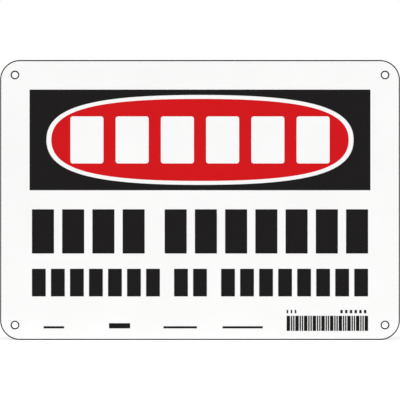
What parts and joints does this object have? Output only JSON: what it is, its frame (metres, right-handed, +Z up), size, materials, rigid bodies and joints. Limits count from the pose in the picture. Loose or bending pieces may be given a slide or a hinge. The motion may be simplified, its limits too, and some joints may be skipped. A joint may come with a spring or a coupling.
{
  "type": "safety sign",
  "caption": "Flat printed safety sign on a sheet-metal plate with rounded corners and corner screw holes, fixed to a wall or fence to be read from the front.",
  "frame": {"origin": "centre of the flat back face, which lies on the wall", "axes": "+Z up the sign as it is read, +X towards the reader's right, +Y from the printed front through the plate into the wall"},
  "size_m": [0.254, 0.0016, 0.1778],
  "materials": {
    "coated_sheet": "aluminium sheet with a white satin coat on the front",
    "black_ink": "black screen-printed ink, satin",
    "red_ink": "red screen-printed ink, satin"
  },
  "bodies": {
    "root": {"sign_plate": "coated_sheet", "header_panel_print": "black_ink", "header_oval_print": "red_ink", "upper_row_print": "black_ink", "lower_row_print": "black_ink", "footer_print": "black_ink", "bar_strip_print": "black_ink"}
  },
  "joints": []
}
